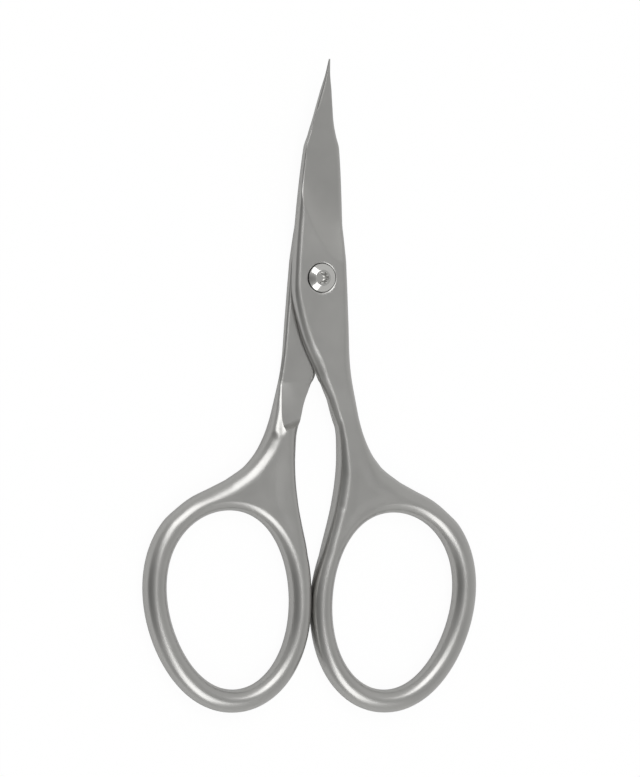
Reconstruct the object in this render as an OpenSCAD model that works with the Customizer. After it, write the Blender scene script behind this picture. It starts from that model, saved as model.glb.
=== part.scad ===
// Nail scissors with curved tower points: two lapped halves that turn on one raised screw.
// X points to the front half's ring, Y to the tips, Z away from the surface that the pair lies on.
// The origin is on the pivot's axis, on that surface.

/* [Overall] */
// Length of a blade, from the pivot to the tip
blade_l = 29.8; // [26:0.2:36]
// Length of a handle, from the pivot to the end of its ring
handle_l = 59.8; // [56:0.2:72]
// Width over both rings when the pair is closed
closed_w = 49.2; // [46:0.2:60]
// Thickness of the closed pair at the joint, and of each ring
body_t = 3.4; // [3:0.1:4.2]

/* [Blades] */
// Length of the slender point, from its shoulder to the tip
point_l = 12; // [9:0.5:15]
// Width of the closed pair at the shoulder where the point starts
point_w = 5.4; // [4.4:0.1:6]
// Width of a tip
tip_w = 0.3; // [0.2:0.05:0.9]
// How far a cutting edge stays inside the other blade's back
edge_inset = 0.2; // [0.1:0.05:0.4]
// Thickness at the back of a blade, at the shoulder of the point
back_t = 1.2; // [0.9:0.05:1.4]
// Thickness at the back of a blade, at the tip
tip_t = 0.4; // [0.3:0.05:0.8]
// Thickness where the cutting bevel starts
edge_t = 0.4; // [0.3:0.05:0.5]
// Width of the cutting bevel
bevel_w = 0.5; // [0.3:0.05:0.8]
// Thickness left at the cutting edge
keen_t = 0.12; // [0.08:0.02:0.2]
// Distance from the pivot to where the blades leave the plane of the joint
flat_l = 7; // [5:0.5:10]
// Slope of the blades, upwards
blade_slope = 0.05; // [0:0.01:0.1]
// Length over which the blades take up their slope
blade_bend = 3; // [2:0.5:6]
// Length of the part at the tips that is bent further up
bent_l = 9.8; // [6:0.2:14]
// Slope that the bend adds
bent_slope = 0.22; // [0:0.02:0.3]
// Length over which the points take up that slope
point_bend = 2; // [1:0.5:4]
// Distance from the pivot to where the grind line meets the cutting side
grind_l = 2.2; // [2:0.2:5]
// Length over which the grind line runs up to the blade's back
grind_reach = 8.5; // [6:0.5:10]
// Slope of the ground face, down from the joint's flat to the blade
grind_slope = 0.18; // [0.14:0.01:0.24]

/* [Joint] */
// Width of the closed pair at the pivot
joint_w = 8; // [7:0.1:9.5]
// Clear gap between the two lap faces
lap_gap = 0.1; // [0.08:0.01:0.16]
// Distance from the pivot to the shoulder that ends a lap face
lap_l = 20.4; // [18:0.2:22]
// Length over which the shoulder rises
shoulder_l = 0.6; // [0.4:0.1:1.2]
// How much further down the shoulder ends at the outer side than at the gap
shoulder_drop = 1.4; // [0:0.1:2]
// Distance from the pivot to where the rim beside the lap face starts
rim_l = 14.6; // [12:0.2:16]
// Radius of the outer edges at the joint
joint_r = 0.85; // [0.5:0.05:1.1]
// Radius of the lap face's edges
lap_r = 0.3; // [0.1:0.05:0.4]
// Radius of the shank's edges
shank_r = 1.5; // [1:0.05:1.6]

/* [Rings] */
// Length of a finger hole
hole_l = 24.5; // [20:0.1:28]
// Width of a ring's bar
bar_w = 3.12; // [2.8:0.02:4]
// Radius of a ring's edges, which makes the bar nearly round
bar_r = 1.5; // [1:0.05:1.6]
// Gap between the two rings when the pair is closed
ring_gap = 0.1; // [0.06:0.02:0.4]
// Depth of the hollow in the web between shank and ring
web_dish = 0.1; // [0:0.05:0.4]

/* [Pivot screw] */
// Diameter of the screw's head
head_d = 3.9; // [3.4:0.1:4.4]
// Height of the head's straight rim
rim_h = 0.62; // [0.4:0.02:0.8]
// Height of the cone on the head
cone_h = 0.4; // [0.2:0.05:0.6]
// Diameter of the flat top of the head
top_d = 2.2; // [1.8:0.1:2.6]
// Diameter of the part that the front half turns on
bearing_d = 3.1; // [2.8:0.1:3.2]
// Diameter of the threaded end
thread_d = 2.5; // [2:0.1:2.6]
// Distance across the lobes of the driver socket
socket_d = 1.75; // [1.5:0.05:1.8]
// Depth of the driver socket
socket_h = 0.9; // [0.6:0.05:1.1]
// Radial running clearance of the front half on the screw
run_clear = 0.04; // [0.02:0.01:0.08]
// Radial gap of the threaded end in its hole
thread_clear = 0.01; // [0.01:0.01:0.03]
// Radial gap between the head and its counterbore
head_clear = 0.13; // [0.08:0.01:0.2]
// Depth of the counterbore
sink_h = 0.72; // [0.6:0.02:0.9]

/* [Slide washer] */
// Thickness of the washer
washer_t = 0.15; // [0.1:0.01:0.2]
// Radial gap around the washer, and clear play above and below it
washer_clear = 0.05; // [0.03:0.01:0.08]

/* [Hidden] */
$fn = 64;
overrun = 1;

mid_z = body_t / 2;
shank_l = handle_l - bar_w - hole_l;
point_y = blade_l - point_l;
joint_half = joint_w / 2;
turn = 360;

// Roundness of the creases beside the ground face
grind_soft = 0.2;

// Places across a rounded edge, as shares of its radius
round_shares = [0, 0.1, 0.33, 0.65, 1];
// Rows between the pivot and the shoulder of the point
neck_rows = 11;
// Columns of a section, from its outer edge to the centre line or the hole
columns = 2 * len(round_shares) + 1;

// The tower point: share of its length from the shoulder, share of its width
point_shares = [[1, 0], [0.82, 0.12], [0.64, 0.3], [0.47, 0.465], [0.3, 0.625], [0.14, 0.81], [0, 1]];
// The neck between point and joint: share of its length, share of its growth in width
neck_shares = [0.5, 0.6];
// The gap side of a half below the pivot: share of shank_l, share of joint_half
gap_side_shares = [[0.03, -0.985], [0.115, -0.91], [0.263, -0.567], [0.393, -0.07], [0.457, 0.15], [0.543, 0.42],
    [0.628, 0.665], [0.713, 0.815], [0.8, 0.858], [0.885, 0.803], [0.97, 0.703]];
// The outer side of a half from the pivot to the shank: share of shank_l, share of joint_half
outer_side_shares = [[0, 0.995], [0.155, 1.085], [0.331, 1.182], [0.45, 1.312], [0.57, 1.51]];
// The outer side on the flare of the web: share of shank_l, share of ring_x
flare_shares = [[0.633, 0.54], [0.683, 0.59], [0.735, 0.666], [0.782, 0.762], [0.819, 0.857], [0.869, 1.05]];
// The web's outline over the hole: share of ring_x, share of shank_l
web_shares = [[1.245, 0.906], [1.474, 0.949], [1.667, 1.005]];
// The web's outline beside the hole: share of ring_x, share of shank_l
web_side_shares = [[0.124, 1.14], [0.18, 1.055]];
// Bend of the centre line on the shank: share of ring_x, share of shank_l
bend_share = [0.5, 0.8];

// Egg shape of the hole: what its width gains with the sine and its square, how its middle sweeps sideways
// with the sine and its powers, and the power that makes it a little squarer than an ellipse
egg_shares = [0.068, 0.021];
sweep_shares = [0.107, -0.048, -0.056];
square_share = 0.977;

// Angles about the hole's middle
crotch_a = 115;
ring_from_a = 45;
ring_to_a = -205;
ring_step_a = 10;

function lerp(a, b, t) = a * (1 - t) + b * t;
function ease(t) = let (c = max(0, min(1, t))) c * c * (3 - 2 * c);
function reversed(list) = [for (i = [len(list) - 1:-1:0]) list[i]];

// A smooth curve through points [position, value] whose positions fall
function slope(pts, i) =
    let (a = pts[max(0, i - 1)], b = pts[min(len(pts) - 1, i + 1)]) (b[1] - a[1]) / (b[0] - a[0]);
function span_of(pts, at) = max(0, min(len(pts) - 2, len([for (p = pts) if (p[0] >= at) p]) - 1));
function curve(pts, at) =
    let (
        i = span_of(pts, at),
        w = pts[i + 1][0] - pts[i][0],
        t = (at - pts[i][0]) / w,
        in = slope(pts, i) * w,
        out = slope(pts, i + 1) * w
    )
    pts[i][1] * (2 * t ^ 3 - 3 * t ^ 2 + 1) + in * (t ^ 3 - 2 * t ^ 2 + t)
        + pts[i + 1][1] * (3 * t ^ 2 - 2 * t ^ 3) + out * (t ^ 3 - t ^ 2);

// A smooth path through points, at place u, counted in points
function path(pts, u) =
    let (
        i = min(len(pts) - 2, floor(u)),
        t = u - i,
        b = pts[i],
        c = pts[i + 1],
        a = pts[max(0, i - 1)],
        d = pts[min(len(pts) - 1, i + 2)]
    )
    b + (c - a) * t / 2 + (2 * a - 5 * b + 4 * c - d) * t ^ 2 / 2 + (3 * b - a - 3 * c + d) * t ^ 3 / 2;

// Height that the middle between the halves has gained at y
function bend_up(run, soft) = run <= 0 ? 0 : run ^ 2 / (run + soft);
function rise(y) =
    blade_slope * bend_up(y - flat_l, blade_bend) + bent_slope * bend_up(y - blade_l + bent_l, point_bend);

// The hole's width and place, so that both rings together are closed_w wide
function hole_across(a) =
    let (s = sin(a), c = cos(a))
    s * (sweep_shares[0] + s * (sweep_shares[1] + s * sweep_shares[2]))
        + (1 + s * (egg_shares[0] + s * egg_shares[1])) * sign(c) * abs(c) ^ square_share;
far_reach = max([for (a = [0:turn / 2]) hole_across(a)]);
near_reach = -min([for (a = [turn / 4:3 * turn / 4]) hole_across(a)]);
hole_w = (closed_w - ring_gap - 4 * bar_w) / (far_reach + near_reach);
ring_x = ring_gap / 2 + bar_w + hole_w / 2 * near_reach;
ring_y = -shank_l - hole_l / 2;

// The two long sides of a half, drawn as the front half seen from above

back_line = concat(
    [for (s = point_shares) [point_y + point_l * s[0], max(tip_w, point_w * s[1]) / 2]],
    [[lerp(point_y, 0, neck_shares[0]), lerp(point_w, joint_w, neck_shares[1]) / 2]]
);
gap_side = concat(
    [for (p = back_line) [p[0], -p[1]]],
    [for (s = gap_side_shares) [-shank_l * s[0], joint_half * s[1]]]
);
outer_side = concat(
    [for (p = back_line) [p[0], max(tip_w / 2, p[1] - edge_inset * ease((blade_l - p[0]) / point_l))]],
    [for (s = outer_side_shares) [-shank_l * s[0], joint_half * s[1]]],
    [for (s = flare_shares) [-shank_l * s[0], ring_x * s[1]]]
);
function gap_x(y) = curve(gap_side, y);
function outer_x(y) = curve(outer_side, y);

// The hole, and the ring's outline around it

function hole_point(a) = [ring_x + hole_w / 2 * hole_across(a), ring_y + hole_l / 2 * sin(a)];
function hole_normal(a) =
    let (d = hole_point(a - 1) - hole_point(a + 1)) [-d[1], d[0]] / norm(d);
function ring_point(a) = hole_point(a) + bar_w * hole_normal(a);

// Sections of a half: outer end, inner end, edge radius, the hole's edge radius, share of the web's hollow,
// and whether the inner end is on the hole

crotch = hole_point(crotch_a);
last_a = crotch_a - turn;
flare_y = -shank_l * flare_shares[len(flare_shares) - 1][0];
side_y = -shank_l * gap_side_shares[len(gap_side_shares) - 1][0];
wall_y = -lap_l - shoulder_l;

// The rows slant towards the shoulder, which ends further down at the outer side
function slant(y) = shoulder_drop / 2 * ease((-rim_l - y) / (lap_l - rim_l));
function outer_end(y) = [outer_x(y - slant(y)), y - slant(y)];
function gap_end(y) = [gap_x(y + slant(y)), y + slant(y)];
function row_mid(y) = (outer_end(y) + gap_end(y)) / 2;

straight_rows = concat(
    [for (s = [1, 0.86, 0.72, 0.58, 0.44, 0.3, 0.18, 0.08, 0]) lerp(point_y, blade_l, s)],
    [for (i = [neck_rows - 1:-1:0]) point_y * i / neck_rows],
    [for (s = [0.14, 0.28, 0.42, 0.56, 0.72, 0.8, 0.88, 0.95, 1]) -lap_l * s],
    [-lap_l - shoulder_l / 2, wall_y]
);
wall_mid = row_mid(wall_y);
bend = [ring_x * bend_share[0], -shank_l * bend_share[1]];
// The last rows above the hole follow the roundness of its edge
round_rows = [for (s = reversed(round_shares)) 1 - s * bar_r / norm(crotch - bend) / 2];
flare_rows = concat([for (s = [0.19, 0.38, 0.56, 0.73, 0.88]) s * round_rows[0]], round_rows);
function centre(t) = lerp(lerp(wall_mid, bend, t), lerp(bend, crotch, t), t);
function edge_r(y) = curve([[blade_l, tip_w / 4], [point_y, joint_r / 2], [0, joint_r],
    [-lap_l, shank_r], [-handle_l, shank_r]], y);
function outer_row(y) = [outer_end(y), row_mid(y),
    y > 0 ? lerp(joint_r, bevel_w, ease(y / point_y)) * min(1, (outer_x(y) / point_w) * 2) : edge_r(y), 0, 0, false];
function gap_row(y) = [gap_end(y), row_mid(y), edge_r(y), 0, 0, false];
function flare_end(t, on_outer) =
    let (y = on_outer ? lerp(outer_end(wall_y)[1], flare_y, t) : lerp(gap_end(wall_y)[1], side_y, t))
    [on_outer ? outer_x(y) : gap_x(y), y];
function flare_row(t, on_outer) = [flare_end(t, on_outer), centre(t), shank_r, t < round_rows[0] ? 0 : bar_r,
    ease(2 * t), t == 1];

web_path = concat(
    [for (t = [round_rows[0], 1]) flare_end(t, true)],
    [for (s = web_shares) [ring_x * s[0], -shank_l * s[1]]],
    [ring_point(ring_from_a), ring_point(ring_from_a - ring_step_a)]
);
side_path = concat(
    [ring_point(ring_to_a + ring_step_a), ring_point(ring_to_a)],
    [for (s = web_side_shares) [ring_x * s[0], -shank_l * s[1]]],
    [[gap_x(side_y), side_y], [gap_x(side_y + bar_w), side_y + bar_w]]
);
web_spans = len(web_shares) + 1;
side_spans = len(web_side_shares) + 1;

function web_row(a) =
    let (t = (crotch_a - a) / (crotch_a - ring_from_a))
    [path(web_path, 1 + web_spans * t), hole_point(a), bar_r, bar_r, ease(1 - t), true];
function ring_row(a) = [ring_point(a), hole_point(a), bar_r, bar_r, 0, true];
function side_row(a) =
    let (t = (a - ring_to_a) / (last_a - ring_to_a))
    [path(side_path, 1 + side_spans * t), hole_point(a), bar_r, bar_r, ease(t), true];

outer_rows = concat([for (y = straight_rows) outer_row(y)], [for (t = flare_rows) flare_row(t, true)]);
gap_rows = concat([for (y = straight_rows) gap_row(y)], [for (t = flare_rows) flare_row(t, false)]);
ring_rows = concat(
    [for (a = [crotch_a - ring_step_a:-ring_step_a:ring_from_a + 1]) web_row(a)],
    [for (a = [ring_from_a:-ring_step_a:ring_to_a]) ring_row(a)],
    [for (a = [ring_to_a - ring_step_a:-ring_step_a:last_a + 1]) side_row(a)]
);
rows = concat(outer_rows, ring_rows, reversed(gap_rows));
outer_n = len(outer_rows);
row_n = len(rows);

// Heights above the middle of the pair, towards the half's own outer face

function fall(at, r, drop) = at >= r ? 0 : drop * (1 - sqrt(1 - (1 - at / r) ^ 2));
hole_line = [for (a = [crotch_a:-ring_step_a:last_a + 1]) hole_point(a)];
function segment_gap(p, a, b) =
    let (t = max(0, min(1, (p - a) * (b - a) / ((b - a) * (b - a))))) norm(p - a - (b - a) * t);
function hole_gap(p) =
    p[1] > -shank_l + 2 * bar_r ? 2 * bar_r
        : min([for (i = [0:len(hole_line) - 1])
            segment_gap(p, hole_line[i], hole_line[(i + 1) % len(hole_line)])]);

// The outer face: the joint's flat, then a ground face that falls from a curved line to the blade's own taper
function soft_max(a, b) = max(a, b) + max(grind_soft - abs(a - b), 0) ^ 2 / grind_soft / 4;
function across(x, y) = (x - gap_x(y)) / (outer_x(y) - gap_x(y));
function blade_t(x, y) =
    let (back = y > point_y ? lerp(back_t, tip_t, (y - point_y) / point_l)
        : lerp(mid_z - lap_gap / 2, back_t, ease(y / point_y)))
    lerp(back, min(edge_t, 0.8 * back), across(x, y));
function face_z(x, y) =
    let (ground = mid_z - grind_slope * (y - grind_l - grind_reach * (1 - across(x, y)) ^ 2))
    y <= 0 ? mid_z : -soft_max(-mid_z, -soft_max(ground, lap_gap / 2 + blade_t(x, y)));

// One vertex of the row whose middle is at row_y: [x, y, height of the outer face, height of the lap face]
function vertex(p, row_y, r, at, hole_r, hole_at, hollow, on_outer) =
    let (
        x = p[0],
        y = p[1],
        lap = lap_gap / 2,
        round_drop = min(r, mid_z),
        edge_drop = y > 0 && on_outer ? min(joint_r, face_z(outer_x(y), y) - lap - keen_t) : round_drop,
        hole_fall = fall(hole_at, hole_r, min(hole_r, mid_z)),
        dish = web_dish * hollow,
        full = ease((-lap_l - row_y) / shoulder_l),
        rim = on_outer && at < r ? ease((-rim_l - row_y) / (lap_l - rim_l)) : full,
        lap_edge = min(lap_r, r),
        blunt = on_outer ? 1 - ease(2 * y / point_y) : 1
    )
    [x, y, face_z(x, y) - fall(at, r, edge_drop) - hole_fall - dish,
        lerp(lap + fall(at, lap_edge, blunt * lap_edge / 2), fall(at, r, round_drop) + hole_fall + dish - mid_z,
            max(rim, full))];

function section(row, on_outer) =
    let (
        p = row[0],
        q = row[1],
        run = norm(q - p),
        r = min(row[2], run * 0.48),
        hole_r = min(row[3], run * 0.48),
        steps = len(round_shares),
        ats = concat(
            [for (s = round_shares) s * r],
            [lerp(r, run - hole_r, hole_r > 0 ? 0.5 : 1 / (steps + 1))],
            hole_r > 0 ? [for (s = reversed(round_shares)) run - s * hole_r]
                : [for (i = [2:steps + 1]) lerp(r, run, i / (steps + 1))]
        )
    )
    [for (j = [0:columns - 1])
        let (
            v = lerp(p, q, ats[j] / run),
            hollow = j < steps ? 0 : hole_r == 0 ? ease((j + 1 - steps) / 3) : j == steps ? 1 : 0
        )
        vertex(v, q[1], r, ats[j], hole_r > 0 ? hole_r : bar_r, row[5] ? run - ats[j] : hole_gap(v),
            row[4] * hollow, on_outer)];

sections = [for (i = [0:row_n - 1]) section(rows[i], i < outer_n + len(ring_rows) / 2)];
flat_sections = [for (s = sections) each s];

// Faces of the loft: both skins, the outer wall, the hole's wall and the tip's end

function quad(a, b, c, d) = [[c, b, a], [d, c, a]];
function skin_at(i, j) = i * columns + j;
skin_n = row_n * columns;
crotch_from = outer_n - 1;
crotch_to = row_n - outer_n;
loft_faces = concat(
    [for (i = [0:row_n - 2], j = [0:columns - 2])
        each quad(skin_at(i, j), skin_at(i, j + 1), skin_at(i + 1, j + 1), skin_at(i + 1, j))],
    [for (i = [0:row_n - 2], j = [0:columns - 2])
        each quad(skin_n + skin_at(i + 1, j), skin_n + skin_at(i + 1, j + 1),
            skin_n + skin_at(i, j + 1), skin_n + skin_at(i, j))],
    [for (i = [0:row_n - 2])
        each quad(skin_at(i, 0), skin_at(i + 1, 0), skin_n + skin_at(i + 1, 0), skin_n + skin_at(i, 0))],
    [for (i = [crotch_from:crotch_to - 1])
        each quad(skin_at(i + 1, columns - 1), skin_at(i, columns - 1),
            skin_n + skin_at(i, columns - 1), skin_n + skin_at(i + 1, columns - 1))],
    [for (i = [0, row_n - 1], j = [0:columns - 2])
        each i == 0
            ? quad(skin_at(i, j + 1), skin_at(i, j), skin_n + skin_at(i, j), skin_n + skin_at(i, j + 1))
            : quad(skin_at(i, j), skin_at(i, j + 1), skin_n + skin_at(i, j + 1), skin_n + skin_at(i, j))]
);

// One half as a loft. The back half is the front half turned over about Y, but both bow upwards.
module half(side) {
    points = concat(
        [for (v = flat_sections) [side * v[0], v[1], mid_z + side * v[2] + rise(v[1])]],
        [for (v = flat_sections) [side * v[0], v[1], mid_z + side * v[3] + rise(v[1])]]
    );
    polyhedron(points, loft_faces, convexity = 10);
}

sink_z = body_t - sink_h;
head_z = sink_z + washer_t + 2 * washer_clear;

module front_half() {
    color([0.62, 0.62, 0.61])
    difference() {
        half(1);
        translate([0, 0, -overrun])
            cylinder(h = body_t + 2 * overrun, d = bearing_d + 2 * run_clear);
        translate([0, 0, sink_z])
            cylinder(h = sink_h + overrun, d = head_d + 2 * head_clear);
    }
}

module back_half() {
    color([0.62, 0.62, 0.61])
    difference() {
        half(-1);
        translate([0, 0, -overrun])
            cylinder(h = body_t + 2 * overrun, d = thread_d + 2 * thread_clear);
    }
}

module pivot_screw() {
    lap_z = mid_z - lap_gap / 2;
    lobe_d = socket_d / 4;
    color([0.83, 0.83, 0.82])
    difference() {
        union() {
            cylinder(h = lap_z + lap_gap, d = thread_d);
            translate([0, 0, lap_z])
                cylinder(h = head_z - lap_z, d = bearing_d);
            translate([0, 0, head_z])
                cylinder(h = rim_h, d = head_d);
            translate([0, 0, head_z + rim_h])
                cylinder(h = cone_h, d1 = head_d, d2 = top_d);
        }
        translate([0, 0, head_z + rim_h + cone_h - socket_h]) {
            cylinder(h = socket_h + overrun, d = socket_d - lobe_d);
            for (a = [0:60:300])
                rotate([0, 0, a])
                    translate([(socket_d - lobe_d) / 2, 0, 0])
                        cylinder(h = socket_h + overrun, d = lobe_d);
        }
    }
}

module slide_washer() {
    color([0.2, 0.2, 0.21])
    translate([0, 0, sink_z + washer_clear])
        difference() {
            cylinder(h = washer_t, d = head_d + 2 * (head_clear - washer_clear));
            translate([0, 0, -overrun])
                cylinder(h = washer_t + 2 * overrun, d = bearing_d + 2 * washer_clear);
        }
}

front_half();
back_half();
pivot_screw();
slide_washer();
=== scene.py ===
import math
import bmesh
import bpy
from mathutils import Matrix, Vector
from mathutils.geometry import intersect_point_line
from mathutils.kdtree import KDTree


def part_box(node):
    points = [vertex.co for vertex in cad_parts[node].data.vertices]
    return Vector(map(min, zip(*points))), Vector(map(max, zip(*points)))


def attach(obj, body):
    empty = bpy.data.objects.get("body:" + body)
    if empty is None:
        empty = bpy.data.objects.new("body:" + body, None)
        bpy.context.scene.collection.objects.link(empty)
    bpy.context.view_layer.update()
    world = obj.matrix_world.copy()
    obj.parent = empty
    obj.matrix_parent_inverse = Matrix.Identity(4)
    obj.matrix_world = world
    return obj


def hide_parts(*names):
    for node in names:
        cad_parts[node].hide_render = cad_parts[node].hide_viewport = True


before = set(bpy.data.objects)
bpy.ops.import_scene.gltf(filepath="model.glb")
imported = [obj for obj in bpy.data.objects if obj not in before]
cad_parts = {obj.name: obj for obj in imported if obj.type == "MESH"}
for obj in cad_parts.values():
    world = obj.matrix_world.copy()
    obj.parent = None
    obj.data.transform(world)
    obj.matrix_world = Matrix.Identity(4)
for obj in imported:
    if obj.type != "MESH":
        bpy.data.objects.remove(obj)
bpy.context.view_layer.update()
bpy.ops.object.select_all(action="DESELECT")
print("frame loaded:", ", ".join(sorted(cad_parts)))

mm = 0.001      # pieces are modelled in millimetres and scaled down when they are done
facing = 0.9    # least share of a face's normal along an axis when it is picked as facing that way


def nodeBox(node):
    low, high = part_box(node)
    return low / mm, high / mm


frontHigh = nodeBox("front_half")[1]
washerLow, washerHigh = nodeBox("slide_washer")


# small sums

def mix(a, b, t):
    return a * (1 - t) + b * t


def clamp(value, low=0.0, high=1.0):
    return max(low, min(high, value))


def ease(t):
    t = clamp(t)
    return t * t * (3 - 2 * t)


def softMax(a, b, soft):        # the larger of two heights, with the corner between them rounded off
    h = max(soft - abs(a - b), 0) / soft
    return max(a, b) + h * h * soft / 4


def softMin(a, b, soft):
    return -softMax(-a, -b, soft)


def curveAt(points, at):        # smooth curve through [place, value], places falling
    last = len(points) - 1
    i = clamp(sum(1 for p in points if p[0] >= at) - 1, 0, last - 1)
    slope = [0, 0]
    for n in (0, 1):
        a, b = points[max(0, i + n - 1)], points[min(last, i + n + 1)]
        slope[n] = (b[1] - a[1]) / (b[0] - a[0])
    width = points[i + 1][0] - points[i][0]
    t = (at - points[i][0]) / width
    return (points[i][1] * (2 * t ** 3 - 3 * t ** 2 + 1) + slope[0] * width * (t ** 3 - 2 * t ** 2 + t)
            + points[i + 1][1] * (3 * t ** 2 - 2 * t ** 3) + slope[1] * width * (t ** 3 - t ** 2))


def stepsAt(points, at):        # eased steps through [place, value], places falling, held at both ends
    for a, b in zip(points, points[1:]):
        if at >= b[0]:
            return mix(b[1], a[1], ease((at - b[0]) / (a[0] - b[0])))
    return points[-1][1]


def pathAt(points, u):          # smooth path through plan points, at place u counted in points
    i = min(len(points) - 2, int(math.floor(u)))
    t = u - i
    a, b, c, d = (Vector(points[clamp(k, 0, len(points) - 1)]) for k in (i - 1, i, i + 1, i + 2))
    return (b + (c - a) * t / 2 + (2 * a - 5 * b + 4 * c - d) * t ** 2 / 2
            + (3 * b - a - 3 * c + d) * t ** 3 / 2)


def spread(start, stop, step):
    n = max(1, round(abs(stop - start) / step))
    return [start + (stop - start) * i / n for i in range(n + 1)]


# work on a piece

def finishEdit():
    if bpy.context.object and bpy.context.object.mode == "EDIT":
        bpy.ops.object.mode_set(mode="OBJECT")


def onlySelect(piece):
    finishEdit()
    bpy.ops.object.select_all(action="DESELECT")
    piece.select_set(True)
    bpy.context.view_layer.objects.active = piece


def startEdit(piece, mode="VERT"):
    onlySelect(piece)
    bpy.ops.object.mode_set(mode="EDIT")
    bpy.ops.mesh.select_mode(type=mode)


def pickFaces(piece, wanted):   # selects by place and normal
    mesh = bmesh.from_edit_mesh(piece.data)
    bpy.ops.mesh.select_all(action="DESELECT")
    for face in mesh.faces:
        face.select = bool(wanted(face.calc_center_median(), face.normal))
    mesh.select_flush_mode()
    bmesh.update_edit_mesh(piece.data)


def pickEdges(piece, wanted):
    mesh = bmesh.from_edit_mesh(piece.data)
    bpy.ops.mesh.select_all(action="DESELECT")
    for edge in mesh.edges:
        edge.select = bool(wanted(edge.verts[0].co, edge.verts[1].co))
    mesh.select_flush_mode()
    bmesh.update_edit_mesh(piece.data)


def faceOutwards():
    bpy.ops.mesh.select_all(action="SELECT")
    bpy.ops.mesh.normals_make_consistent(inside=False)


def growRing(rise, scale):      # extrudes what is selected upwards and scales it about the pivot's axis
    bpy.ops.mesh.extrude_region_move(TRANSFORM_OT_translate={"value": (0, 0, rise)})
    bpy.ops.transform.resize(value=(scale, scale, 1), center_override=(0, 0, 0))


def cutWith(piece, cutter):     # cuts the cutter's shape out of the piece and throws the cutter away
    onlySelect(piece)
    cut = piece.modifiers.new("cut", "BOOLEAN")
    cut.operation = "DIFFERENCE"
    cut.solver = "EXACT"
    cut.object = cutter
    bpy.ops.object.modifier_apply(modifier=cut.name)
    bpy.data.objects.remove(cutter)


def nameIt(name):
    piece = bpy.context.object
    piece.name = piece.data.name = name
    return piece


def addDrum(name, sides, radius, low, high):    # a cylinder on the pivot's axis, between two heights
    bpy.ops.mesh.primitive_cylinder_add(vertices=sides, radius=radius, depth=high - low,
                                        location=(0, 0, (low + high) / 2))
    drum = nameIt(name)
    bpy.ops.object.transform_apply(location=True, rotation=True, scale=True)
    return drum


def bringHome(piece, body, material, smoothAngle):
    onlySelect(piece)
    bpy.ops.transform.resize(value=(mm, mm, mm), center_override=(0, 0, 0))
    bpy.ops.object.transform_apply(location=True, rotation=True, scale=True)
    bpy.ops.object.shade_smooth_by_angle(angle=math.radians(smoothAngle))
    piece.data.materials.clear()
    piece.data.materials.append(material)
    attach(piece, body)
    print(piece.name, "is done,", len(piece.data.vertices), "vertices")


# the plan of one half, seen from its own outer face, with its ring on +X

tipExtra = 0.2              # the drawn-out tips end this much past the plainer ones of the frame
plan = {
    "bladeLength": frontHigh.y + tipExtra,
    "handleLength": 59.8,
    "thickness": 3.4,
    "pointLength": 12.2,
    "pointWidth": 5.42,
    "tipWidth": 0.1,
    "edgeInset": 0.2,       # how far the cutting edge stands back from the other half's back
    "jointWidth": 8,
    "neckShare": 0.6,       # half way up the blade, from the point's width to the joint's
    "holeWidth": 18.04,
    "holeLength": 24.5,
    "holeSweep": (0.107, -0.048, -0.056),   # shares of half its width, by powers of the height in the hole
    "holeSwell": (0.068, 0.021),
    "holePower": 0.977,
    "holeReach": 4,         # how far above the hole its edge is still measured to
    "barWidth": 3.17,
    "barSwell": 0.033,      # share that the bar is wider on the ring's far side
    "ringGap": 0.04,
    "rowStep": 0.3,         # distance between the mesh's rows
    "ringStep": 2.5,        # degrees between its rows round the hole
    "flareStep": 0.028,     # share of the flare between its rows, before they are drawn together at its end
    "flarePower": 1.5,
    "edgeColumns": 9,       # columns across a rounded edge
    "faceColumns": 18,      # columns across the face between the edges
}
midZ = plan["thickness"] / 2
shankLength = plan["handleLength"] - plan["barWidth"] - plan["holeLength"]
pointY = plan["bladeLength"] - plan["pointLength"]
ringX = plan["ringGap"] / 2 + plan["barWidth"] * (1 - plan["barSwell"]) + plan["holeWidth"] / 2
ringY = -shankLength - plan["holeLength"] / 2
jointHalf = plan["jointWidth"] / 2
wallY = -21.0               # where the two long sides start to part towards the ring

# shares of the length and width of the point, then of shankLength, jointHalf and ringX
pointShares = [[1, 0], [0.82, 0.12], [0.64, 0.3], [0.47, 0.465], [0.3, 0.625], [0.14, 0.81], [0, 1]]
gapSideShares = [[0.03, -0.985], [0.115, -0.91], [0.263, -0.567], [0.39, -0.09], [0.435, 0.05], [0.47, 0.2],
                 [0.51, 0.36], [0.545, 0.45], [0.58, 0.52], [0.605, 0.58], [0.635, 0.7], [0.67, 0.76],
                 [0.72, 0.8], [0.8, 0.835], [0.885, 0.79], [0.97, 0.69]]
# the same side of the outer face, which runs on without the step at the shoulder
smoothSideShares = [[0.435, 0.05], [0.51, 0.34], [0.58, 0.54], [0.635, 0.68], [0.685, 0.765]]
outerSideShares = [[0, 0.995], [0.155, 1.085], [0.331, 1.182], [0.45, 1.312], [0.57, 1.51]]
flareShares = [[0.633, 0.543], [0.683, 0.593], [0.735, 0.669], [0.782, 0.766], [0.819, 0.861],
               [0.869, 1.056]]
webShares = [[1.252, 0.906], [1.482, 0.949], [1.676, 1.005]]
webSideShares = [[0.117, 1.14], [0.177, 1.055]]
bendShares = (0.5, 0.8)     # where the middle line of the web bends
# degrees round the hole: where the web's middle line ends, and the two ends of the free bar
crotchAngle = 115
ringFrom, ringTo = 45, -205
# how far off the points stand that give the ends of a path their direction
leadShare, leadLength, leadAngle = 0.9, 3.2, 10


def downShank(shares, width):   # [place, value] of a long side, below the pivot
    return [[-shankLength * s[0], width * s[1]] for s in shares]


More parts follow.
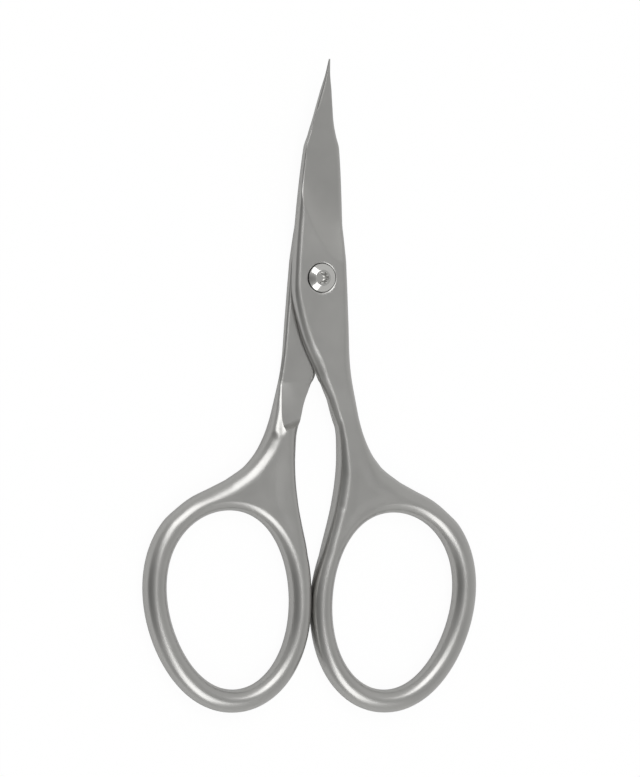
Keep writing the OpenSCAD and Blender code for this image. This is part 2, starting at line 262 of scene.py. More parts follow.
backLine = [[pointY + plan["pointLength"] * s[0], max(plan["tipWidth"], plan["pointWidth"] * s[1]) / 2]
            for s in pointShares]
backLine.append([pointY / 2, mix(plan["pointWidth"], plan["jointWidth"], plan["neckShare"]) / 2])
gapSide = [[p[0], -p[1]] for p in backLine] + downShank(gapSideShares, jointHalf)
outerSide = [[p[0], max(plan["tipWidth"] / 2,
                        p[1] - plan["edgeInset"] * ease((plan["bladeLength"] - p[0]) / plan["pointLength"]))]
             for p in backLine]
outerSide += downShank(outerSideShares, jointHalf) + downShank(flareShares, ringX)
smoothSide = downShank(smoothSideShares, jointHalf)


def gapX(y):
    return curveAt(gapSide, y)


def outerX(y):
    return curveAt(outerSide, y)


def holePoint(angle):           # a little wider above its middle, its lower end swept towards the other ring
    rise, side = math.sin(math.radians(angle)), math.cos(math.radians(angle))
    half = plan["holeWidth"] / 2
    sweep = sum(share * rise ** (n + 1) for n, share in enumerate(plan["holeSweep"]))
    swell = sum(share * rise ** (n + 1) for n, share in enumerate(plan["holeSwell"]))
    across = (1 + swell) * math.copysign(abs(side) ** plan["holePower"], side)
    return Vector((ringX + half * (sweep + across), ringY + plan["holeLength"] / 2 * rise))


def ringPoint(angle):           # the ring's outline, one bar's width outside the hole
    along = holePoint(angle - 1) - holePoint(angle + 1)
    width = plan["barWidth"] * (1 + plan["barSwell"] * math.cos(math.radians(angle)))
    return holePoint(angle) + width * Vector((-along.y, along.x)).normalized()


flareY = -shankLength * flareShares[-1][0]
sideY = -shankLength * gapSideShares[-1][0]
wallMid = Vector(((gapX(wallY) + outerX(wallY)) / 2, wallY))
bend = Vector((ringX * bendShares[0], -shankLength * bendShares[1]))
crotch = holePoint(crotchAngle)
webPath = [Vector((outerX(y), y)) for y in (mix(wallY, flareY, leadShare), flareY)]
webPath += [Vector((ringX * s[0], -shankLength * s[1])) for s in webShares]
webPath += [ringPoint(ringFrom), ringPoint(ringFrom - leadAngle)]
sidePath = [ringPoint(ringTo + leadAngle), ringPoint(ringTo)]
sidePath += [Vector((ringX * s[0], -shankLength * s[1])) for s in webSideShares]
sidePath += [Vector((gapX(y), y)) for y in (sideY, sideY + leadLength)]
gapEdge = gapSide + [[p.y, p.x] for p in reversed(sidePath[:-2])]


def centreLine(t):
    return mix(mix(wallMid, bend, t), mix(bend, crotch, t), t)


def stripRows():                # rows across the strip, each with its kind, its outer end and its inner end
    rows = []
    straight = spread(plan["bladeLength"], wallY, plan["rowStep"])
    flare = [1 - (1 - t) ** plan["flarePower"] for t in spread(0, 1, plan["flareStep"]) if t > 0]
    for y in straight:
        rows.append(("blade", Vector((outerX(y), y)), Vector(((outerX(y) + gapX(y)) / 2, y))))
    for t in flare:
        y = mix(wallY, flareY, t)
        rows.append(("flare", Vector((outerX(y), y)), centreLine(t)))
    rounds = spread(crotchAngle, crotchAngle - 360, plan["ringStep"])[1:-1]
    for a in rounds:
        if a > ringFrom:
            outer = pathAt(webPath, 1 + (len(webShares) + 1) * (crotchAngle - a) / (crotchAngle - ringFrom))
        elif a >= ringTo:
            outer = ringPoint(a)
        else:
            back = (a - ringTo) / (crotchAngle - 360 - ringTo)
            outer = pathAt(sidePath, 1 + (len(webSideShares) + 1) * back)
        rows.append(("ring", outer, holePoint(a)))
    for t in reversed(flare):
        y = mix(wallY, sideY, t)
        rows.append(("flare", Vector((gapX(y), y)), centreLine(t)))
    for y in reversed(straight):
        rows.append(("blade", Vector((gapX(y), y)), Vector(((outerX(y) + gapX(y)) / 2, y))))
    return rows, len(straight) + len(flare), len(rounds)


class Outline:                  # true distance in plan to a drawn line
    def __init__(self, points):
        self.points = points
        self.tree = KDTree(len(points))
        for i, p in enumerate(points):
            self.tree.insert((p.x, p.y, 0), i)
        self.tree.balance()

    def distance(self, p):
        _, near, _ = self.tree.find((p.x, p.y, 0))
        found = []
        for a, b in ((near - 1, near), (near, near + 1)):
            if a < 0 or b >= len(self.points):
                continue
            a, b = self.points[a], self.points[b]
            spot, t = intersect_point_line(p, a, b)
            beside = (Vector((spot.x, spot.y)) - p).length
            found.append(beside if 0 < t < 1 else min((p - a).length, (p - b).length))
        return min(found)


# the form of one half: heights above the middle of the pair, towards the half's own outer face

form = {
    "lapGap": 0.1,
    "backThickness": 1.2,   # at the back of the blade, at the point's shoulder
    "tipThickness": 0.14,
    "edgeThickness": 0.4,   # where the cutting bevel starts
    "edgeShare": 0.8,       # and the most of the back's thickness that this may be
    "backWall": 0.25,       # height of the plain wall that is left under the back's rounded edge
    "keenThickness": 0.12,  # the same at the cutting edge
    "wallShare": 0.3,       # and the most of the blade's thickness that either may be
    "grindStart": 2.2,      # where the grind line meets the edge
    "grindEdge": 3.7,       # how far out that is
    "grindSpan": 6.7,       # from there across to the back
    "grindReach": 8.5,      # how much further up it meets the back
    "grindFall": 0.184,     # slope of the ground surface, then how soft its two creases are
    "grindSoft": 0.3,
    "creaseSoft": 0.08,
    # how far the points bend up: where each bend starts, its slope and how softly it sets in
    "bends": [(7, 0.05, 3), (plan["bladeLength"] - 9.8, 0.22, 2)],
    "rimStart": 14.6,       # from the pivot to where the rim beside the lap face starts
    # and to where it has run out into the shank, by place across
    "rimEnds": [[7.3, 20.4], [5.5, 21.7], [4.5, 20.9], [0, 19.4]],
    "rimSoft": 0.07,
    "dish": 0.06,           # hollow of the web's faces, how softly it sets in, and where along the half
    "dishReach": 1.6,
    "dishStart": 23,
    "dishRun": 6,
    "roundness": 2.1,       # power of the rounded edges, 2 for a quarter circle
    "edgeDepth": 1.1,       # how far an edge falls for each millimetre of its radius
    "handleStart": 14,      # from here down an edge may fall as far as the middle of the bar
    "shoulderShare": 0.85,  # share of the shoulder's step that the outer face's edge leaves out
    "leastThickness": 0.001,
    "radiusShare": 0.5,     # the most of a row that an edge may take, then the lap face's away from the hole
    "lapRadiusShare": 0.95,
    "smoothAngle": 28,
    # how far the gap between the shanks stands off the middle, by place along it
    "gapLean": [[-12.6, 0], [-14, 0.05], [-17.4, 0.16], [-20.5, 0.32], [-36, 0.3], [-45, 0]],
    "leanReach": 2.7,
}
# radius of the edges of the outer face, by place along the half: the back's side, then the cutting side
backRadii = [[29.8, 0.1], [27.5, 0.33], [23.8, 0.38], [22.2, 0.13], [17.8, 0.13], [16.4, 0.35], [12.2, 0.42],
             [8, 0.8], [0, 0.85], [-4.4, 1.1], [-8.6, 1.27], [-11.4, 1.48], [-15, 1.65], [-33, 1.65]]
outerRadii = [[29.8, 0.12], [17.8, 0.5], [6, 0.6], [0, 0.85], [-6, 1.0], [-14, 1.35], [-19, 2.2], [-28, 2.2]]
# the same for the lap face
backLapRadii = [[1, 0.12], [-1, 0.35], [-4, 0.42], [-17, 0.5], [-20.3, 1.6], [-27, 0.95]]
outerLapRadii = [[1, 0.12], [-1, 0.35], [-4, 0.42], [-14.6, 0.42], [-16.5, 0.55], [-18.5, 0.9],
                 [-20, 1.05], [-21, 1.3], [-22.2, 1.95], [-23.4, 2.1], [-25.8, 2.15], [-28, 2.2]]
# and round the ring, by angle: the outer edge of each face, then the hole's edge
ringRadii = [[115, 2.2], [60, 1.7], [25, 1.56], [-180, 1.56], [-245, 1.5]]
ringLapRadii = [[115, 2.2], [60, 1.7], [25, 1.56], [-180, 1.56], [-245, 0.95]]
holeRadii = [[115, 1.4], [60, 1.5], [25, 1.56], [-180, 1.56], [-245, 1.4]]


def fall(distance, radius, room=midZ):  # how far a rounded edge has fallen at this distance from it
    if distance >= radius:
        return 0
    drop, power = min(room, radius * form["edgeDepth"]), form["roundness"]
    return drop * (1 - max(0, 1 - (1 - distance / radius) ** power) ** (1 / power))


def grindLine(x):
    return form["grindStart"] + ((form["grindEdge"] - x) / form["grindSpan"]) ** 2 * form["grindReach"]


def backThicknessAt(y):
    full = midZ - form["lapGap"] / 2
    if y > pointY:
        return mix(form["backThickness"], form["tipThickness"], (y - pointY) / plan["pointLength"])
    return mix(full, form["backThickness"], ease(y / pointY))


def bladeTop(x, y):             # outer face of the blade: the joint's flat, then the ground surface
    if y <= 0:
        return midZ
    across = (x - gapX(y)) / (outerX(y) - gapX(y))
    back = backThicknessAt(y)
    thin = form["lapGap"] / 2 + mix(back, min(form["edgeThickness"], back * form["edgeShare"]), across)
    ramp = midZ - form["grindFall"] * (y - grindLine(x))
    return softMin(midZ, softMax(ramp, thin, form["grindSoft"]), form["creaseSoft"])


def riseAt(y):                  # the blades leave the joint's plane and the points bend further up
    bends = [(y - start, slope, soft) for start, slope, soft in form["bends"]]
    return sum(slope * run ** 2 / (run + soft) for run, slope, soft in bends if run > 0)


def heights(p, edge, hole, radii, cutting):     # of the outer face and the lap face, inwards from the edges
    x, y = p
    edgeRadius, lapRadius, holeRadius = radii
    lap = form["lapGap"] / 2
    rimEnd = stepsAt(form["rimEnds"], x)
    rim = clamp(softMin((-form["rimStart"] - y) / (rimEnd - form["rimStart"]), 1, form["rimSoft"]))
    dish = form["dish"] * ease((-y - form["dishStart"]) / form["dishRun"])
    for distance, radius in ((edge, edgeRadius), (hole, holeRadius)):
        dish *= ease((distance - radius) / form["dishReach"])
    inward = fall(hole, holeRadius) + dish
    lapFace = mix(lap, -midZ, rim) + rim * inward + (0 if cutting else fall(edge, lapRadius))
    if not cutting and smoothSide[0][0] > y > smoothSide[-1][0] and x < (gapX(y) + outerX(y)) / 2:
        edge = max(0, edge - form["shoulderShare"] * (curveAt(smoothSide, y) - gapX(y)))
    top = bladeTop(x, y)
    wall = min(form["keenThickness"] if cutting else form["backWall"], (top - lap) * form["wallShare"])
    room = min(midZ, top - lap - wall) if y > -form["handleStart"] else midZ
    outer = top - inward - fall(edge, edgeRadius, room)
    return outer, min(lapFace, outer - form["leastThickness"])


def columnsOf(run, edgeRadius, holeRadius):     # places across a row, close together on the rounded edges
    n, m = plan["edgeColumns"], plan["faceColumns"]
    bow = [1 - math.cos(math.pi / 2 * i / n) for i in range(n + 1)]
    places = [edgeRadius * b for b in bow]
    if holeRadius > 0:
        inner = [run - holeRadius * b for b in reversed(bow)]
        places += [mix(edgeRadius, run - holeRadius, i / m) for i in range(1, m)]
        return places + inner
    return places + [mix(edgeRadius, run, i / (m + n)) for i in range(1, m + n + 1)]


def buildHalfBlank():           # a strip wound along the outline and round the hole, then made solid
    rows, outerCount, ringCount = stripRows()
    near, far = 1e-5, 99        # points closer than this are one, and a hole this far off changes nothing
    edgeLine = Outline([r[1] for r in rows])
    holeLine = Outline([holePoint(a) for a in spread(0, 360, 1)])
    columns = 2 * plan["edgeColumns"] + plan["faceColumns"] + 1
    bpy.ops.mesh.primitive_grid_add(x_subdivisions=columns - 1, y_subdivisions=len(rows) - 1, size=1)
    blank = nameIt("blank")
    mesh = bmesh.new()
    mesh.from_mesh(blank.data)
    lapLayer = mesh.verts.layers.float.new("lapHeight")
    cells = {}
    for vert in mesh.verts:
        cells[round((vert.co.y + 0.5) * (len(rows) - 1)), round((vert.co.x + 0.5) * (columns - 1))] = vert
    for i, (kind, outerEnd, innerEnd) in enumerate(rows):
        y = outerEnd.y
        onOuter = i < outerCount + ringCount / 2
        run = (innerEnd - outerEnd).length
        cutting = False
        holeRadius = holeRadii[0][1]
        if kind == "ring":
            a = crotchAngle - 360 * (i - outerCount + 1) / (ringCount + 1)
            radii = stepsAt(ringRadii, a), stepsAt(ringLapRadii, a), stepsAt(holeRadii, a)
        elif onOuter:
            radii = stepsAt(outerRadii, y), stepsAt(outerLapRadii, y), holeRadius
            cutting = y > 0
        else:
            radii = stepsAt(backRadii, y), stepsAt(backLapRadii, y), holeRadius
        atHole = kind == "ring" or (innerEnd - crotch).length < near
        lapShare = form["radiusShare" if atHole else "lapRadiusShare"]
        shares = form["radiusShare"], lapShare, form["radiusShare"]
        radii = [min(radius, run * share) for radius, share in zip(radii, shares)]
        for j, at in enumerate(columnsOf(run, radii[0], radii[2] if atHole else 0)):
            p = outerEnd.lerp(innerEnd, at / run)
            edge = edgeLine.distance(p) if at > 0 else 0
            hole = holeLine.distance(p) if p.y < plan["holeReach"] - shankLength else far
            if atHole and j == columns - 1:
                hole = 0
            outer, lapFace = heights(p, edge, hole, radii, cutting)
            vert = cells[i, j]
            vert.co = (p.x, p.y, outer)
            vert[lapLayer] = lapFace
    for i in range(outerCount):         # both sides agree along the centre line
        a, b = cells[i, columns - 1], cells[len(rows) - 1 - i, columns - 1]
        b.co, b[lapLayer] = a.co, a[lapLayer]
    mesh.to_mesh(blank.data)
    mesh.free()
    startEdit(blank)
    bpy.ops.mesh.select_all(action="SELECT")
    bpy.ops.mesh.remove_doubles(threshold=near)
    bpy.ops.mesh.extrude_region_move(TRANSFORM_OT_translate={"value": (0, 0, -1)})
    mesh = bmesh.from_edit_mesh(blank.data)
    lapLayer = mesh.verts.layers.float["lapHeight"]
    for vert in mesh.verts:
        if vert.select:
            vert.co.z = vert[lapLayer]
    bmesh.update_edit_mesh(blank.data)
    faceOutwards()
    finishEdit()
    return blank


# the lap face's pocket, cut back to the shoulder with a rim left standing on the outer side

pocket = {
    "floor": 0.045,         # height of the lap face above the middle
    "depth": 3,
    # plan points of the wall's top edge, each with how far its foot stands off: up beside the rim, round the
    # corner, along the shoulder
    "outline": [(4.87, -14.4, 0), (5.06, -15.8, 0.05), (5.18, -17.2, 0.12), (5.26, -18.5, 0.16),
                (5.25, -19.6, 0.2), (5.14, -20.5, 0.3), (4.86, -21.02, 0.5), (4.2, -20.9, 0.7),
                (2.6, -20.3, 0.8), (0, -19.3, 0.8), (0, -14.4, 0)],
    # shares of the stand-off and of the wall's height, from the top edge down to the floor
    "wall": [(-0.2, 0), (0, 0.07), (0.3, 0.55), (0.65, 0.85), (1, 1)],
}


def pocketRing(out, up):        # one outline of the cutter, shifted inwards and raised towards the floor
    points = pocket["outline"]
    ring = []
    for i, (x, y, standOff) in enumerate(points):
        before, after = points[i - 1], points[(i + 1) % len(points)]
        a = Vector((x - before[0], y - before[1])).normalized()
        b = Vector((after[0] - x, after[1] - y)).normalized()
        inward = Vector((a.y + b.y, -a.x - b.x)) / (1 + a.dot(b))
        spot = Vector((x, y)) + inward * standOff * out
        ring.append((spot.x, spot.y, mix(-midZ, pocket["floor"], up)))
    return ring


def cutPocket(blank):
    bpy.ops.mesh.primitive_plane_add(size=1, location=(0, 0, 0))
    cutter = nameIt("pocketCutter")
    startEdit(cutter)
    bpy.ops.mesh.select_all(action="SELECT")
    bpy.ops.mesh.delete(type="VERT")
    mesh = bmesh.from_edit_mesh(cutter.data)
    rings = [[(x, y, -pocket["depth"]) for x, y, z in pocketRing(*pocket["wall"][0])]]
    rings += [pocketRing(out, up) for out, up in pocket["wall"]]
    rings = [[mesh.verts.new(spot) for spot in ring] for ring in rings]
    for low, high in zip(rings, rings[1:]):
        for i in range(len(low)):
            mesh.faces.new((low[i - 1], low[i], high[i], high[i - 1]))
    mesh.faces.new(rings[0])
    mesh.faces.new(rings[-1])
    bmesh.update_edit_mesh(cutter.data)
    faceOutwards()
    cutWith(blank, cutter)


def leanAt(x, y):               # both gap sides stand a little off the middle, towards the front half's ring
    pull = stepsAt(form["gapLean"], y)
    return pull * clamp(1 - (x - curveAt(gapEdge, y)) / form["leanReach"]) if pull > 0 else 0


def layInPair(piece, side):
    for vert in piece.data.vertices:
        x, y, z = vert.co
        vert.co = (side * x + leanAt(x, y), y, midZ + side * z + riseAt(y))


# the bores of the two halves

bores = {
    "bearing": 3.18,
    "counterbore": 4.16,
    "counterboreFloor": 2.68,
    "thread": 2.52,
    "chamfer": (0.12, 0.05),        # width and depth
    "plainMouth": (0, 0.01),
    "overrun": 1,                   # how far a cutter goes past the steel
    "sides": 96,
}


def cutBore(half, diameter, fromZ, mouthZ, chamfer):
    width, depth = chamfer
    cutter = addDrum("boreCutter", bores["sides"], diameter / 2, fromZ, mouthZ - depth)
    startEdit(cutter, "FACE")
    pickFaces(cutter, lambda centre, normal: normal.z > facing)
    growRing(depth, 1 + 2 * width / diameter)
    growRing(bores["overrun"], 1)
    cutWith(half, cutter)


def makeHalves(material):
    blank = buildHalfBlank()
    cutPocket(blank)
    print("blank:", len(blank.data.vertices), "vertices")
    halves = []
    for name, body, side in (("front_half_steel", "front_body", 1), ("back_half_steel", "back_body", -1)):
        onlySelect(blank)
        bpy.ops.object.duplicate()
        half = nameIt(name)
        layInPair(half, side)
        if side > 0:
            floor = bores["counterboreFloor"]
            cutBore(half, bores["bearing"], 0, floor + bores["overrun"], bores["plainMouth"])
            cutBore(half, bores["counterbore"], floor, 2 * midZ, bores["chamfer"])
        else:
            cutBore(half, bores["thread"], -bores["overrun"], midZ - form["lapGap"] / 2, bores["chamfer"])
        bringHome(half, body, material, form["smoothAngle"])
        halves.append(half)
    bpy.data.objects.remove(blank)
    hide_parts("front_half")
    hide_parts("back_half")
    return halves


# the pivot screw

screw = {
    "threadRadius": 1.25,
    "bearingRadius": 1.55,
    "headRadius": 1.95,
    "topRadius": 1.1,
    "lapZ": 1.65,
    "headZ": 2.93,
    "rim": 0.62,
    "cone": 0.4,
    "edge": 0.05,
    "edgeSteps": 3,
    "socketRadius": 0.875,
    "lobes": 6,
    "lobeDepth": 0.26,      # share of the radius between a lobe and a groove
    "lobePower": 1.3,       # over 1 makes the lobes broader than the grooves between them
    "socketDepth": 0.9,
    "socketInset": 0.12,    # ring at the foot of the socket, and how far its middle is drilled deeper
    "socketDrill": 0.08,
    "overrun": 0.5,
    "sides": 96,
    "smoothAngle": 25,
}


def makeScrew(material):
    s = screw
    piece = addDrum("pivot_screw_steel", s["sides"], s["threadRadius"], 0, s["lapZ"])
    startEdit(piece, "FACE")
    pickFaces(piece, lambda centre, normal: normal.z > facing)
    growRing(0, s["bearingRadius"] / s["threadRadius"])
    growRing(s["headZ"] - s["lapZ"], 1)
    growRing(0, s["headRadius"] / s["bearingRadius"])
    growRing(s["rim"], 1)
    growRing(s["cone"], s["topRadius"] / s["headRadius"])
    topZ = s["headZ"] + s["rim"] + s["cone"]
    near = 1e-3

    def sharpRing(a, b):
        radius = math.hypot(a.x, a.y)
        level = abs(a.z - b.z) < near and abs(math.hypot(b.x, b.y) - radius) < near
        onHead = abs(a.z - s["headZ"]) < near and radius > s["headRadius"] - near
        return level and (onHead or a.z > s["headZ"] + near or a.z < near)
    bpy.ops.mesh.select_mode(type="EDGE")
    pickEdges(piece, sharpRing)
    bpy.ops.mesh.bevel(offset=s["edge"], segments=s["edgeSteps"], affect="EDGES")
    finishEdit()
    cutSocket(piece, topZ)
    bringHome(piece, "back_body", material, s["smoothAngle"])
    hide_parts("pivot_screw")
    return piece


def cutSocket(piece, topZ):     # a six-lobed star, a little wider at its mouth
    s = screw
    cutter = addDrum("socketCutter", s["sides"], s["socketRadius"], topZ - s["socketDepth"], topZ)
    for vert in cutter.data.vertices:
        angle = math.atan2(vert.co.y, vert.co.x)
        wave = (1 - math.cos(s["lobes"] * angle)) / 2
        radius = s["socketRadius"] * (1 - s["lobeDepth"] * wave ** s["lobePower"])
        vert.co.x, vert.co.y = radius * math.cos(angle), radius * math.sin(angle)
    startEdit(cutter, "FACE")
    pickFaces(cutter, lambda centre, normal: normal.z > facing)
    growRing(s["edge"], 1 + s["edge"] / s["socketRadius"])
    growRing(s["overrun"], 1)
    pickFaces(cutter, lambda centre, normal: normal.z < -facing)
    bpy.ops.mesh.inset(thickness=s["socketInset"])
    bpy.ops.transform.translate(value=(0, 0, -s["socketDrill"]))
    cutWith(piece, cutter)


# the slide washer under the screw's head

washer = {
    "outerRadius": washerHigh.x,
    "innerRadius": 1.6,
    "floor": washerLow.z,
    "top": washerHigh.z,
    "edge": 0.03,
    "edgeSteps": 2,
    "sides": 96,
    "smoothAngle": 25,
}


def makeWasher(material):
    w = washer
    piece = addDrum("slide_washer_polymer", w["sides"], w["outerRadius"], w["floor"], w["top"])
    startEdit(piece, "FACE")
    pickFaces(piece, lambda centre, normal: abs(normal.z) > facing)
    bpy.ops.mesh.inset(thickness=w["outerRadius"] - w["innerRadius"])
    bpy.ops.mesh.bridge_edge_loops()
    bpy.ops.mesh.select_mode(type="EDGE")
    faceOutwards()
    level = 1e-4
    pickEdges(piece, lambda a, b: abs(a.z - b.z) < level
              and abs(math.hypot(a.x, a.y) - math.hypot(b.x, b.y)) < level)
    bpy.ops.mesh.bevel(offset=w["edge"], segments=w["edgeSteps"], affect="EDGES")
    bringHome(piece, "back_body", material, w["smoothAngle"])
    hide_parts("slide_washer")
    return piece


# finishes

blast = {
    "drift": 160,
    "grainDetail": 2,
    "mottleDetail": 3,
    "mottleRoughness": 0.6,
}
steel = {
    "colour": (0.58, 0.575, 0.56, 1),
    "shade": (0.50, 0.497, 0.487, 1),
    "roughness": 0.3,
    "roughnessRange": 0.05,
    "grainSize": 9000,
    "grainDepth": 0.12,
    "grainHeight": 0.00002,         # metres
}
polish = {
    "colour": (0.74, 0.735, 0.72, 1),
    "roughness": 0.12,
    "roughnessRange": 0.04,
    "grainSize": 4000,
}
polymer = {
    "colour": (0.05, 0.05, 0.055, 1),
    "roughness": 0.55,
    "roughnessRange": 0.1,
    "grainSize": 6000,
}


def newGroup(name, inputs, outputs):
    group = bpy.data.node_groups.new(name, "ShaderNodeTree")
    for socketName, kind, value in inputs:
        socket = group.interface.new_socket(socketName, in_out="INPUT", socket_type=kind)
        if value is not None:
            socket.default_value = value
    for socketName, kind in outputs:
        group.interface.new_socket(socketName, in_out="OUTPUT", socket_type=kind)
    return group, group.nodes.new("NodeGroupInput"), group.nodes.new("NodeGroupOutput")


def makeGrainGroup():           # the fine, even grain that blasting leaves, with a slow drift under it
    inputs = [("Size", "NodeSocketFloat", steel["grainSize"]), ("Drift", "NodeSocketFloat", blast["drift"])]
    outputs = [("Grain", "NodeSocketFloat"), ("Mottle", "NodeSocketFloat")]
    group, start, end = newGroup("fineGrain", inputs, outputs)
    nodes, links = group.nodes, group.links
    place = nodes.new("ShaderNodeTexCoord")
    grain = nodes.new("ShaderNodeTexNoise")
    grain.inputs["Detail"].default_value = blast["grainDetail"]
    links.new(place.outputs["Object"], grain.inputs["Vector"])
    links.new(start.outputs["Size"], grain.inputs["Scale"])
    mottle = nodes.new("ShaderNodeTexNoise")
    mottle.inputs["Detail"].default_value = blast["mottleDetail"]
    mottle.inputs["Roughness"].default_value = blast["mottleRoughness"]
    links.new(place.outputs["Object"], mottle.inputs["Vector"])
    links.new(start.outputs["Drift"], mottle.inputs["Scale"])
    links.new(grain.outputs["Fac"], end.inputs["Grain"])
    links.new(mottle.outputs["Fac"], end.inputs["Mottle"])
    return group


def newMaterial(name):
    material = bpy.data.materials.new(name)
    material.use_nodes = True
    nodes = material.node_tree.nodes
    return material, nodes, material.node_tree.links, nodes["Principled BSDF"]


def addGrain(nodes, links, shader, grainGroup, finish, output):     # and the roughness that follows it
    grain = nodes.new("ShaderNodeGroup")
    grain.node_tree = grainGroup
    grain.inputs["Size"].default_value = finish["grainSize"]
    rough = nodes.new("ShaderNodeMapRange")
    rough.inputs["To Min"].default_value = finish["roughness"] - finish["roughnessRange"]
    rough.inputs["To Max"].default_value = finish["roughness"] + finish["roughnessRange"]
    links.new(grain.outputs[output], rough.inputs["Value"])
    links.new(rough.outputs["Result"], shader.inputs["Roughness"])
    return grain


def makeSteel(grainGroup):
    material, nodes, links, shader = newMaterial("satinSteel")
    shader.inputs["Metallic"].default_value = 1
    grain = addGrain(nodes, links, shader, grainGroup, steel, "Mottle")
    colour = nodes.new("ShaderNodeMix")
    colour.data_type = "RGBA"
    colour.inputs["A"].default_value = steel["shade"]
    colour.inputs["B"].default_value = steel["colour"]
    links.new(grain.outputs["Mottle"], colour.inputs["Factor"])
    links.new(colour.outputs["Result"], shader.inputs["Base Color"])
    bump = nodes.new("ShaderNodeBump")
    bump.inputs["Strength"].default_value = steel["grainDepth"]
    bump.inputs["Distance"].default_value = steel["grainHeight"]
    links.new(grain.outputs["Grain"], bump.inputs["Height"])
    links.new(bump.outputs["Normal"], shader.inputs["Normal"])
    return material


def makePolish(grainGroup):
    material, nodes, links, shader = newMaterial("polishedSteel")
    shader.inputs["Metallic"].default_value = 1
    shader.inputs["Base Color"].default_value = polish["colour"]
    addGrain(nodes, links, shader, grainGroup, polish, "Grain")
    return material


def makeDarkPolymer(grainGroup):
    material, nodes, links, shader = newMaterial("washerPolymer")
    shader.inputs["Base Color"].default_value = polymer["colour"]
    addGrain(nodes, links, shader, grainGroup, polymer, "Grain")
    return material


# the table, the light and the camera

studio = {
    "tableSize": 4,
    "tableDrop": 0.02,      # millimetres below the rings, so that no two faces lie in one plane
    "tableColour": (0.84, 0.84, 0.84, 1),
    "tableGlow": 0.92,
    "glowStrength": 1.03,
    "darkSpot": (-0.9, -0.1, 0.45),        # direction of the room's dark side
    "darkSpread": (1.1, 0.52, 1.1),
    # how light the room is, by half the distance from the dark spot
    "skyRamp": [(0, 0.2), (0.165, 0.22), (0.285, 0.28), (0.4, 0.36), (0.5, 0.45), (0.6, 0.4), (0.71, 0.45),
                (0.8, 0.55), (1, 0.58)],
    "skyWarmth": 0.985,
    "boxDistance": 1,
    "boxes": [
        {"azimuth": 105, "elevation": 63, "turn": -52, "size": (0.8, 0.47), "power": 2.15},
        {"azimuth": 264, "elevation": 55, "turn": 62, "size": (0.8, 0.47), "power": 2.0},
    ],
}


def makeTable():                # the camera sees it nearly white, with the object's shadow left on it
    bpy.ops.mesh.primitive_plane_add(size=studio["tableSize"], location=(0, 0, -studio["tableDrop"] * mm))
    table = nameIt("table")
    material, nodes, links, shader = newMaterial("tableWhite")
    shader.inputs["Base Color"].default_value = studio["tableColour"]
    shader.inputs["Roughness"].default_value = 1
    shader.inputs["Specular IOR Level"].default_value = 0
    glow = nodes.new("ShaderNodeEmission")
    glow.inputs["Strength"].default_value = studio["glowStrength"]
    rays = nodes.new("ShaderNodeLightPath")
    share = nodes.new("ShaderNodeMath")
    share.operation = "MULTIPLY"
    share.inputs[1].default_value = studio["tableGlow"]
    links.new(rays.outputs["Is Camera Ray"], share.inputs[0])
    blend = nodes.new("ShaderNodeMixShader")
    links.new(share.outputs[0], blend.inputs["Fac"])
    links.new(shader.outputs["BSDF"], blend.inputs[1])
    links.new(glow.outputs["Emission"], blend.inputs[2])
    links.new(blend.outputs["Shader"], nodes["Material Output"].inputs["Surface"])
    table.data.materials.append(material)


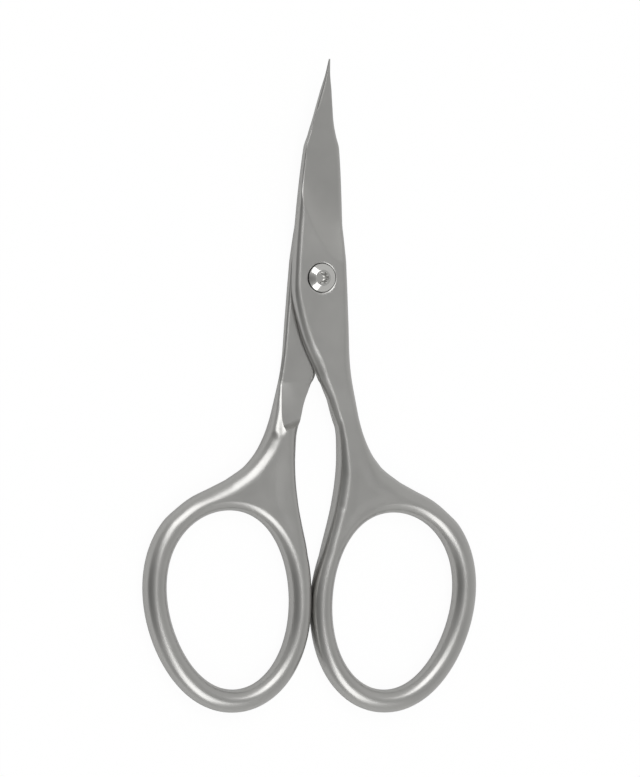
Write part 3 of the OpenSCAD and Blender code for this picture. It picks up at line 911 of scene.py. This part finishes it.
def makeRoom():                 # dark on one side, for the steel to reflect, and white for the camera
    world = bpy.data.worlds.new("studioRoom")
    bpy.context.scene.world = world
    world.use_nodes = True
    nodes, links = world.node_tree.nodes, world.node_tree.links
    room = nodes["Background"]
    place = nodes.new("ShaderNodeTexCoord")
    away = nodes.new("ShaderNodeVectorMath")
    away.operation = "SUBTRACT"
    away.inputs[1].default_value = studio["darkSpot"]
    links.new(place.outputs["Generated"], away.inputs[0])
    scaled = nodes.new("ShaderNodeVectorMath")
    scaled.operation = "DIVIDE"
    scaled.inputs[1].default_value = [2 * size for size in studio["darkSpread"]]
    links.new(away.outputs["Vector"], scaled.inputs[0])
    length = nodes.new("ShaderNodeVectorMath")
    length.operation = "LENGTH"
    links.new(scaled.outputs["Vector"], length.inputs[0])
    ramp = nodes.new("ShaderNodeValToRGB")
    stops = ramp.color_ramp.elements
    while len(stops) < len(studio["skyRamp"]):
        stops.new(0.5)
    for stop, (position, level) in zip(stops, studio["skyRamp"]):
        stop.position = position
        stop.color = (level, level, level * studio["skyWarmth"], 1)
    links.new(length.outputs["Value"], ramp.inputs["Fac"])
    links.new(ramp.outputs["Color"], room.inputs["Color"])
    white = nodes.new("ShaderNodeBackground")
    white.inputs["Color"].default_value = (1, 1, 1, 1)
    rays = nodes.new("ShaderNodeLightPath")
    blend = nodes.new("ShaderNodeMixShader")
    links.new(rays.outputs["Is Camera Ray"], blend.inputs["Fac"])
    links.new(room.outputs["Background"], blend.inputs[1])
    links.new(white.outputs["Background"], blend.inputs[2])
    links.new(blend.outputs["Shader"], nodes["World Output"].inputs["Surface"])


def makeLamps():
    for box in studio["boxes"]:
        a, e = math.radians(box["azimuth"]), math.radians(box["elevation"])
        towards = Vector((math.cos(a) * math.cos(e), math.sin(a) * math.cos(e), math.sin(e)))
        bpy.ops.object.light_add(type="AREA", location=towards * studio["boxDistance"])
        lamp = bpy.context.object
        lamp.data.shape = "RECTANGLE"
        lamp.data.size, lamp.data.size_y = box["size"]
        lamp.data.energy = box["power"]
        turn = Matrix.Rotation(math.radians(box["turn"]), 4, "Z")
        lamp.rotation_euler = (towards.to_track_quat("Z", "Y").to_matrix().to_4x4() @ turn).to_euler()


view = {
    "tilt": 21.65,          # degrees from straight above, towards the object's left
    "roll": 1.2,
    "distance": 800,        # millimetres
    "aim": (0.73, -15.2, 1.7),
    "frameHeight": 106.9,
    "sensor": 36,
    "clip": (0.01, 10),     # metres
}


def makeCamera():
    tilt = math.radians(view["tilt"])
    back = Vector((-math.sin(tilt), 0, math.cos(tilt)))
    right = Vector((math.cos(tilt), 0, math.sin(tilt)))
    turned = Matrix((right, Vector((0, 1, 0)), back)).transposed()
    roll = Matrix.Rotation(math.radians(view["roll"]), 3, "Z")
    bpy.ops.object.camera_add(location=(Vector(view["aim"]) + back * view["distance"]) * mm,
                              rotation=(turned @ roll).to_euler())
    camera = bpy.context.object
    camera.data.sensor_width = view["sensor"]
    camera.data.lens = view["sensor"] * view["distance"] / view["frameHeight"]
    camera.data.clip_start, camera.data.clip_end = view["clip"]
    bpy.context.scene.camera = camera


grainGroup = makeGrainGroup()
makeHalves(makeSteel(grainGroup))
makeScrew(makePolish(grainGroup))
makeWasher(makeDarkPolymer(grainGroup))
makeTable()
makeRoom()
makeLamps()
makeCamera()
bpy.context.scene.view_settings.view_transform = "Standard"
bpy.ops.object.select_all(action="DESELECT")
print("studio is set")
